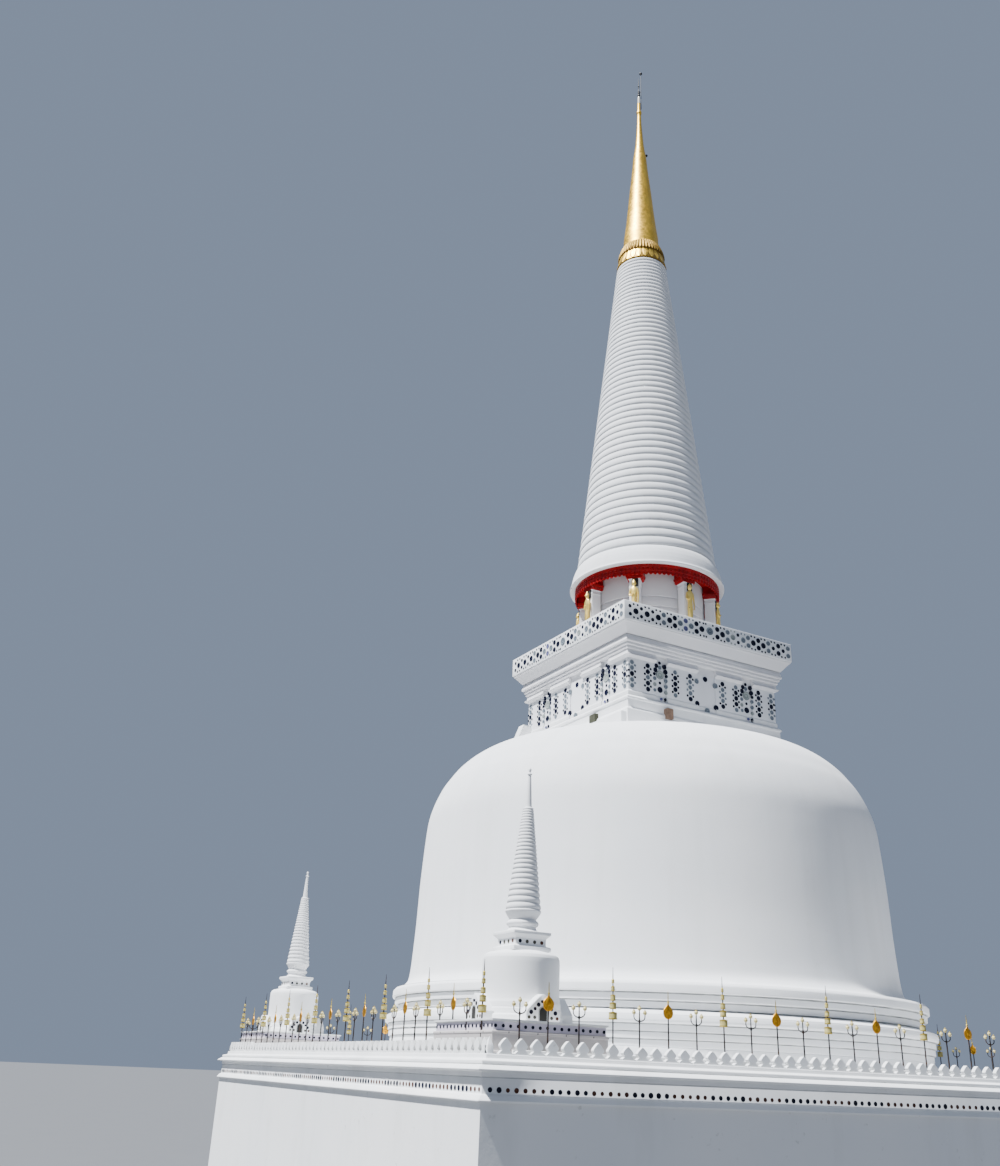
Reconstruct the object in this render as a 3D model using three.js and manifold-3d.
// A tall bell-shaped stupa on its square terrace, as a 1:2 scale model.
// Millimetres of the model, +Z up, origin on the ground under the axis.
// The terrace is square to X and Y. The square throne is turned a little about Z.
import * as THREE from 'three';
import { mergeVertices } from 'three/addons/utils/BufferGeometryUtils.js';
import Module from 'manifold-3d';

const manifold = await Module();
manifold.setup();

// Driving dimensions
const gap = 0.3; // clearance where one piece is cut to sit on another
const roofLine = 1970; // top of the plain lower base
const baseHalf = 6600;
const floorLevel = 2484; // paved terrace, level with the foot of the parapet
const merlonHeight = 180;
const lowMerlonHeight = 158; // between the corner stupas
const parapetHalf = 6486; // outer face of the parapet
const parapetThickness = 80;
const merlonsPerSide = 62;
const rowHalf = 6362; // line of the standards
const rowEndInset = 295;
const standardsPerSide = 29;
const poleRadius = 10;
const roundBaseTop = 3660;
const bellTop = 8580;
const bellShift = [-65, 30]; // the bell stands a little off the axis
const throneTurn = THREE.MathUtils.degToRad(3.94);
const plinthTurn = THREE.MathUtils.degToRad(-2.2); // the plinth against the throne
const plinthFoot = 8150;
const wallHalf = 1858;
const wallFoot = 9105;
const wallTop = 9700;
const corniceTop = 10370;
const bandHalf = 2140;
const bandTop = 10763;
const bandThickness = 110;
const drumRadius = 1130;
const columnCount = 8;
const columnRing = 1390;
const columnSide = 220;
const neckTurn = THREE.MathUtils.degToRad(2.5);
const capitalHalf = 165;
const capitalFoot = 11780;
const valanceRadius = 1610;
const valanceFoot = 11930;
const soffitLevel = 12100;
const rimLevel = 12147;
const rimRadius = 1742;
const ringCount = 54;
const coneFoot = 12650;
const coneHead = 21096;
const ringEasing = 0.336; // how much closer the rings stand towards the top
const coneFootRadius = 1545;
const coneHeadRadius = 622;
const ringDepth = 34;
const coneSides = 12;
const goldFoot = coneHead + gap;
const tipLevel = 27890;
const rodTop = 28090; // lightning rod beside the tip
const rodTurn = THREE.MathUtils.degToRad(-25);
const rodReach = 62;
const pedestalHalf = 815;
const pedestalTop = 2880;
const cornerSides = 10;

// Materials
function finish(color, roughness, metalness) {
  return new THREE.MeshStandardMaterial({ color, roughness, metalness });
}
const limewash = finish(0xf1f1ee, 0.9, 0);
const gold = finish(0xd6a12c, 0.35, 1);
const redPaint = finish(0xa8141b, 0.55, 0);

const part = new THREE.Group();

function place(name, geometry, material, parent = part) {
  const mesh = new THREE.Mesh(geometry, material.clone());
  mesh.name = name;
  parent.add(mesh);
  return mesh;
}

// A solid of revolution about Z from [radius, height] points that run upwards
function turned(profile, sides, start = 0) {
  const points = profile.map(([radius, height]) => new THREE.Vector2(radius, height));
  const shape = new THREE.LatheGeometry(points, sides, start);
  return shape.rotateX(Math.PI / 2);
}

// A stack of square mouldings from [half width, height] points that run upwards
function squared(profile) {
  const corners = profile.map(([half, height]) => [half * Math.SQRT2, height]);
  return turned(corners, 4, Math.PI / 4);
}

// Closes a profile on the axis at both ends
function onAxis(profile) {
  const lowest = profile[0][1];
  const highest = profile[profile.length - 1][1];
  return [[0, lowest], ...profile, [0, highest]];
}

function box(sizeX, sizeY, sizeZ, x, y, z) {
  return new THREE.BoxGeometry(sizeX, sizeY, sizeZ).translate(x, y, z);
}

// A closed mesh as a solid that can be joined and cut
function toSolid(geometry) {
  const bare = geometry.clone();
  bare.deleteAttribute('normal');
  bare.deleteAttribute('uv');
  const merged = mergeVertices(bare, 1e-3);
  const index = merged.index.array;
  const corners = [];
  for (let i = 0; i < index.length; i += 3) {
    const [a, b, c] = [index[i], index[i + 1], index[i + 2]];
    if (a !== b && b !== c && c !== a) corners.push(a, b, c);
  }
  const vertProperties = new Float32Array(merged.attributes.position.array);
  const triVerts = new Uint32Array(corners);
  return new manifold.Manifold(new manifold.Mesh({ numProp: 3, vertProperties, triVerts }));
}

function toGeometry(solid) {
  const mesh = solid.getMesh();
  const geometry = new THREE.BufferGeometry();
  geometry.setAttribute('position', new THREE.BufferAttribute(mesh.vertProperties, 3));
  geometry.setIndex(new THREE.BufferAttribute(mesh.triVerts, 1));
  geometry.computeVertexNormals();
  return geometry;
}

function joined(geometries) {
  const [first, ...rest] = geometries.map(toSolid);
  return toGeometry(rest.reduce((sum, solid) => sum.add(solid), first));
}

function cutBy(geometry, tool) {
  return toGeometry(toSolid(geometry).subtract(toSolid(tool)));
}

// The four sides, each as a quarter turn about Z, named as seen from the front
const sides = [['front', 0], ['right', 1], ['back', 2], ['left', 3]];

// Plain masonry from the ground to the roof line, and the terrace mouldings above it
function makeTerrace() {
  place('lower_base', squared(onAxis([[baseHalf, 0], [baseHalf, roofLine]])), limewash);
  const mouldings = [
    [6640, roofLine], [6648, 1995], [6606, 2052], [6584, 2058], [6584, 2230],
    [6594, 2238], [6594, 2294], [6668, 2304], [6676, 2322], [6606, 2367],
    [6600, 2412], [6530, 2428], [6515, 2436], [6510, floorLevel],
  ];
  place('terrace_base', squared(onAxis(mouldings)), limewash);
}

// One side of the parapet: pointed merlons with broad shoulders, a narrow waist and a wider foot
const merlonHalfOutline = [[0.5, 0.07], [0.28, 0.2], [0.46, 0.54]]; // parts of the pitch and of the height

function makeParapet(side, quarter) {
  const half = quarter % 2 === 0 ? parapetHalf : parapetHalf - parapetThickness;
  const pitch = 2 * parapetHalf / merlonsPerSide;
  const outline = new THREE.Shape();
  outline.moveTo(-half, 0);
  outline.lineTo(half, 0);
  for (let k = merlonsPerSide - 1; k >= 0; k -= 1) {
    const middle = -parapetHalf + (k + 0.5) * pitch;
    const apex = Math.abs(middle) > 4690 ? merlonHeight : lowMerlonHeight;
    const right = merlonHalfOutline.map(([along, up]) => [middle + along * pitch, up * apex]);
    const left = merlonHalfOutline.map(([along, up]) => [middle - along * pitch, up * apex]).reverse();
    left.pop();
    [...right, [middle, apex], ...left].forEach(([x, height]) => {
      if (Math.abs(x) < half) outline.lineTo(x, height);
    });
  }
  outline.lineTo(-half, 12);
  const wall = new THREE.ExtrudeGeometry(outline, { depth: parapetThickness, bevelEnabled: false });
  wall.rotateX(Math.PI / 2);
  wall.translate(0, -parapetHalf + parapetThickness, floorLevel);
  wall.rotateZ(quarter * Math.PI / 2);
  place(`parapet_${side}`, wall, limewash);
}

// Standards: each head as a [radius, height above the floor] profile, foot first
const parasolTiers = [[55, 492], [45, 605], [35, 700], [26, 814], [18, 902]];
const parasolTop = 1040;
const parasolFoot = 470;
const shadeFoot = 506;
const shadeMiddle = 596;
const shadeTop = 845;
const lampTop = 624;
const lampArm = 462;
const lampReach = 85;

function parasol() {
  const tiers = parasolTiers.flatMap(([radius, height]) => [[radius, height], [poleRadius, height + 60]]);
  return turned(onAxis([[poleRadius, 0], [poleRadius, parasolFoot], ...tiers, [2, parasolTop]]), 4);
}

function sunshade() {
  const body = [[poleRadius, shadeFoot], [74, shadeMiddle], [14, 694], [2, shadeTop]];
  return turned(onAxis([[poleRadius, 0], ...body]), 4);
}

// Three globes on a U-shaped arm, as one flat outline
function lamp() {
  const right = [
    [poleRadius, 0], [poleRadius, lampArm], [lampReach + 12, lampArm + 50], [lampReach, lampArm + 120],
    [poleRadius + 3, lampArm + 25], [poleRadius + 3, lampTop],
  ];
  const left = right.map(([x, z]) => [-x, z]).reverse();
  const outline = new THREE.Shape([...right, ...left].map(([x, z]) => new THREE.Vector2(x, z)));
  const plate = new THREE.ExtrudeGeometry(outline, { depth: 2 * poleRadius, bevelEnabled: false });
  return plate.rotateX(Math.PI / 2).translate(0, poleRadius, 0);
}

const standardKinds = [parasol, lamp, sunshade, lamp];

// The standards of one side stand on a low kerb that carries them
function makeStandards(side, quarter) {
  const first = quarter % 2 === 0 ? 1 : 0; // where the pattern starts on this side
  const step = 2 * (rowHalf - rowEndInset) / (standardsPerSide - 1);
  const kerbLength = 2 * (rowHalf - rowEndInset) + 60;
  const pieces = [box(kerbLength, 36, 60, 0, 0, 30)];
  for (let k = 0; k < standardsPerSide; k += 1) {
    const kind = standardKinds[(k + first) % 4];
    pieces.push(kind().translate(-rowHalf + rowEndInset + k * step, 0, 1));
  }
  const row = joined(pieces);
  row.translate(0, -rowHalf, floorLevel);
  row.rotateZ(quarter * Math.PI / 2);
  place(`standards_${side}`, row, gold);
}

// Round base courses and the bell
const bellProfile = [
  [4850, roundBaseTop], [4730, 3695], [4650, 3760], [4615, 3840], [4580, 4100], [4540, 4800], [4514, 5600],
  [4465, 6400], [4410, 6850], [4300, 7230], [4160, 7500], [3935, 7800], [3700, 8005], [3420, 8165],
  [3035, 8300], [2560, 8420], [1800, 8530], [900, bellTop],
];
const roundSides = 28;

function makeRoundBase() {
  const lower = [
    [4960, floorLevel], [4960, 2826], [4990, 2836], [4990, 2930], [5010, 2940], [5010, 3036], [5052, 3046],
    [5068, 3100], [5058, 3180],
  ];
  const upper = [
    [5058, 3180], [4826, 3250], [4834, 3264], [4850, 3364], [4905, 3374], [4915, 3478], [4960, 3490],
    [4958, 3615], [4935, 3640], [4930, roundBaseTop],
  ];
  place('round_base_lower', turned(onAxis(lower), roundSides), limewash);
  place('round_base_upper', turned(onAxis(upper), roundSides), limewash);
}

function makeBell() {
  place('bell', turned(onAxis(bellProfile), roundSides).translate(...bellShift, 0), limewash);
}

// The throne: a stepped base on the bell, a panelled wall, a cornice and a tiled band on top
function makeThrone() {
  const throne = new THREE.Group();
  throne.rotation.z = throneTurn;
  part.add(throne);
  const baseSteps = [
    [1850, plinthFoot + 200], [1940, plinthFoot + 200], [1940, 8840], [1905, 8850], [1905, 8935],
    [1872, 8950], [1866, wallFoot - gap],
  ];
  const plinth = squared(onAxis([[1990, plinthFoot], [1990, 8660]])).rotateZ(plinthTurn);
  const raised = bellProfile.map(([radius, height]) => [radius + gap, height + gap]);
  const dome = turned(onAxis(raised), roundSides).translate(...bellShift, 0).rotateZ(-throneTurn);
  const base = joined([squared(onAxis(baseSteps)), plinth, hatchBlock()]);
  place('throne_base', cutBy(base, dome), limewash, throne);

  const corniceSteps = [
    [1872, wallTop + gap], [1935, 9745], [1938, 9766], [1892, 9774], [1894, 9880], [1990, 9980],
    [1996, 10050], [1975, 10110], [1972, 10158], [2090, 10320], [2120, 10345], [2124, corniceTop],
  ];
  place('throne_wall', throneWall(), limewash, throne);
  place('throne_cornice', squared(onAxis(corniceSteps)), limewash, throne);
  sides.forEach(([side, quarter]) => {
    const half = quarter % 2 === 0 ? bandHalf : bandHalf - bandThickness - gap;
    const height = bandTop - corniceTop - gap;
    const wall = box(2 * half, bandThickness, height, 0, -bandHalf + bandThickness / 2, 0);
    wall.translate(0, 0, corniceTop + gap + height / 2).rotateZ(quarter * Math.PI / 2);
    place(`throne_band_${side}`, wall, limewash, throne);
  });
}

// A small hatch with a sloping roof beside the left corner of the throne
function hatchBlock() {
  const outline = new THREE.Shape([[1862, 0], [2200, 0], [2190, 560], [2060, 880], [1862, 850]]
    .map(([x, z]) => new THREE.Vector2(x, z)));
  const block = new THREE.ExtrudeGeometry(outline, { depth: 200, bevelEnabled: false });
  block.rotateX(Math.PI / 2).rotateZ(Math.PI);
  return block.translate(0, 1700, 8300);
}

// The wall's plan steps in between its bays, given as parts of its length
const recess = 22;
const recessSpans = [[0.2, 0.255], [0.45, 0.55], [0.745, 0.8]];

function throneWall() {
  const steps = recessSpans.flatMap(([from, to]) => [[from, 0], [from, recess], [to, recess], [to, 0]]);
  const sidePlan = [[0, 0], ...steps].map(([along, depth]) => [
    wallHalf * (2 * along - 1), -wallHalf + depth,
  ]);
  const corners = sides.flatMap(([, quarter]) => sidePlan.map(([x, y]) => (
    new THREE.Vector2(x, y).rotateAround(new THREE.Vector2(), quarter * Math.PI / 2))));
  const height = wallTop - wallFoot;
  const shape = new THREE.ExtrudeGeometry(new THREE.Shape(corners), { depth: height, bevelEnabled: false });
  return shape.translate(0, 0, wallFoot);
}

// The neck: a grooved drum, eight columns with a gilded figure on each, and a red soffit
const neckFoot = corniceTop + gap;

function makeNeck() {
  const drum = [
    [drumRadius + 80, neckFoot], [drumRadius + 80, 10560], [drumRadius + 30, 10580],
    [drumRadius + 30, 11400], [drumRadius, 11415], [drumRadius, soffitLevel - gap],
  ];
  place('neck_drum', turned(onAxis(drum), 24), limewash);
  const height = capitalFoot - neckFoot - gap;
  const soffitPieces = [turned(onAxis([
    [valanceRadius - 35, soffitLevel], [valanceRadius - 35, valanceFoot], [valanceRadius, valanceFoot],
    [valanceRadius, rimLevel - gap],
  ]), 24)];
  for (let k = 0; k < columnCount; k += 1) {
    const turn = neckTurn + k * 2 * Math.PI / columnCount;
    const column = box(columnSide, columnSide, height, columnRing, 0, neckFoot + height / 2);
    place(`column_${k + 1}`, column.rotateZ(turn), limewash);
    place(`figure_${k + 1}`, figure().rotateZ(turn), gold);
    soffitPieces.push(capital().rotateZ(turn));
  }
  place('red_soffit', joined(soffitPieces), redPaint);
}

// A bracket capital, wider than its column, with its ends cut to a slope
function capital() {
  const foot = columnSide / 2;
  const top = soffitLevel - capitalFoot + 10;
  const outline = [
    [-foot, 0], [foot, 0], [capitalHalf, 40], [capitalHalf, top], [-capitalHalf, top], [-capitalHalf, 40],
  ];
  const shape = new THREE.Shape(outline.map(([x, z]) => new THREE.Vector2(x, z)));
  const block = new THREE.ExtrudeGeometry(shape, { depth: columnSide, bevelEnabled: false });
  block.rotateX(Math.PI / 2).rotateZ(Math.PI / 2);
  return block.translate(columnRing - columnSide / 2, 0, capitalFoot);
}

// A standing robed figure on a tall foot, facing outwards
function figure() {
  const outline = [
    [78, 0], [78, 330], [62, 345], [60, 640], [76, 800], [72, 1090], [84, 1210], [34, 1280], [48, 1350],
    [34, 1400], [10, 1452],
  ];
  const body = turned(onAxis(outline), 6);
  body.scale(0.6, 1, 1);
  return body.translate(columnRing + columnSide / 2 + 0.6 * 84 + gap, 0, neckFoot);
}

// Ringed cone: the foot flares out to a rim, and each ring is a swelling between two grooves
const coneLength = coneHead - coneFoot;

function ringPlace(along) {
  return along * (1 + ringEasing - ringEasing * along);
}

function ringedCone() {
  const points = [[rimRadius, rimLevel], [rimRadius, rimLevel + 28]];
  points.push([1665, 12330], [1590, 12520]);
  for (let k = 0; k < ringCount; k += 1) {
    const along = (k + 0.5) / ringCount;
    const radius = coneFootRadius + (coneHeadRadius - coneFootRadius) * ringPlace(along);
    points.push([radius, coneFoot + coneLength * ringPlace(along)]);
    points.push([radius - ringDepth, coneFoot + coneLength * ringPlace((k + 1) / ringCount)]);
  }
  return points;
}

function makeSpire() {
  place('ringed_cone', turned(onAxis(ringedCone()), coneSides), limewash);
  const collar = [[600, goldFoot], [634, 21150], [628, 21180], [590, 21330], [545, 21480], [527, 21560]];
  place('gold_collar', turned(onAxis(collar), 16), gold);
  const petals = [[527, 21560], [551, 21700], [545, 21740], [490, 21840], [478, 21855], [450, 21860]];
  place('gold_petals', turned(onAxis(petals), 16), gold);
  const cone = [
    [450, 21860], [437, 22150], [376, 22680], [327, 23210], [278, 23760], [222, 24320], [178, 24880],
    [140, 25160], [108, 25450], [78, 25890], [60, 26250], [52, 26642],
  ];
  const beacon = new THREE.SphereGeometry(26, 6, 4).rotateX(Math.PI / 2).translate(205, 0, 25050);
  const bracket = box(90, 14, 14, 160, 0, 25050);
  const goldCone = joined([turned(onAxis(cone), 12), bracket.rotateZ(rodTurn), beacon.rotateZ(rodTurn)]);
  place('gold_cone', goldCone, gold);
  const finial = [
    [50, 26642], [42, 26700], [34, 26950], [30, 27060], [28, 27270], [20, 27290], [30, 27460], [16, 27480],
    [34, 27560], [16, 27660], [26, 27720], [6, tipLevel],
  ];
  const rod = [[8, 26900], [8, rodTop - 50], [26, rodTop - 30], [26, rodTop - 18], [8, rodTop]];
  const rodParts = [
    turned(onAxis(rod), 6).translate(rodReach, 0, 0),
    box(60, 10, 14, 38, 0, 26960),
    box(60, 10, 14, 38, 0, 27380),
  ].map((piece) => piece.rotateZ(rodTurn));
  place('finial', joined([turned(onAxis(finial), 8), ...rodParts]), gold);
}

// Corner stupas: a pedestal, four porches, a small bell, a throne and a ringed spire
function makeCornerStupa(name, x, y) {
  const corner = new THREE.Group();
  corner.position.set(x, y, 0);
  part.add(corner);
  const pedestal = [
    [pedestalHalf, floorLevel], [pedestalHalf, 2740], [pedestalHalf - 25, 2750], [pedestalHalf - 25, 2850],
    [pedestalHalf, 2856], [pedestalHalf, pedestalTop],
  ];
  place(`${name}_pedestal`, squared(onAxis(pedestal)), limewash, corner);
  const bell = [
    [560, pedestalTop], [560, 2960], [535, 2970], [535, 3040], [515, 3050], [515, 3120], [498, 3160],
    [488, 3240], [490, 3600], [478, 3680], [440, 3722], [300, 3752],
  ];
  const porchPlan = new THREE.Shape([[-240, 0], [240, 0], [240, 50], [0, 340], [-240, 50]]
    .map(([across, up]) => new THREE.Vector2(across, up)));
  const porch = new THREE.ExtrudeGeometry(porchPlan, { depth: 1240, bevelEnabled: false });
  porch.rotateX(Math.PI / 2).translate(0, 620, pedestalTop);
  const crossing = porch.clone().rotateZ(Math.PI / 2);
  place(`${name}_bell`, joined([turned(onAxis(bell), cornerSides), porch, crossing]), limewash, corner);
  const throne = [
    [281, 3752], [281, 3800], [232, 3815], [232, 3905], [250, 3925], [281, 3950], [281, 3995],
  ];
  place(`${name}_throne`, squared(onAxis(throne)).rotateZ(throneTurn), limewash, corner);
  const spire = [
    [200, 3995], [178, 4055], [215, 4090], [215, 4120], [176, 4150], [241, 4255], [241, 4275], [219, 4359],
    [62, 5655], [48, 5690], [20, 6080], [34, 6092], [34, 6104], [12, 6115], [21, 6170], [21, 6185], [4, 6215],
  ];
  place(`${name}_spire`, turned(onAxis(spire), cornerSides), limewash, corner);
}

makeTerrace();
sides.forEach(([side, quarter]) => makeParapet(side, quarter));
sides.forEach(([side, quarter]) => makeStandards(side, quarter));
makeRoundBase();
makeBell();
makeThrone();
makeNeck();
makeSpire();
makeCornerStupa('front_left_stupa', -5525, -5475);
makeCornerStupa('front_right_stupa', 5500, -5500);
makeCornerStupa('back_right_stupa', 5500, 5500);
makeCornerStupa('back_left_stupa', -5480, 5490);

export default part;
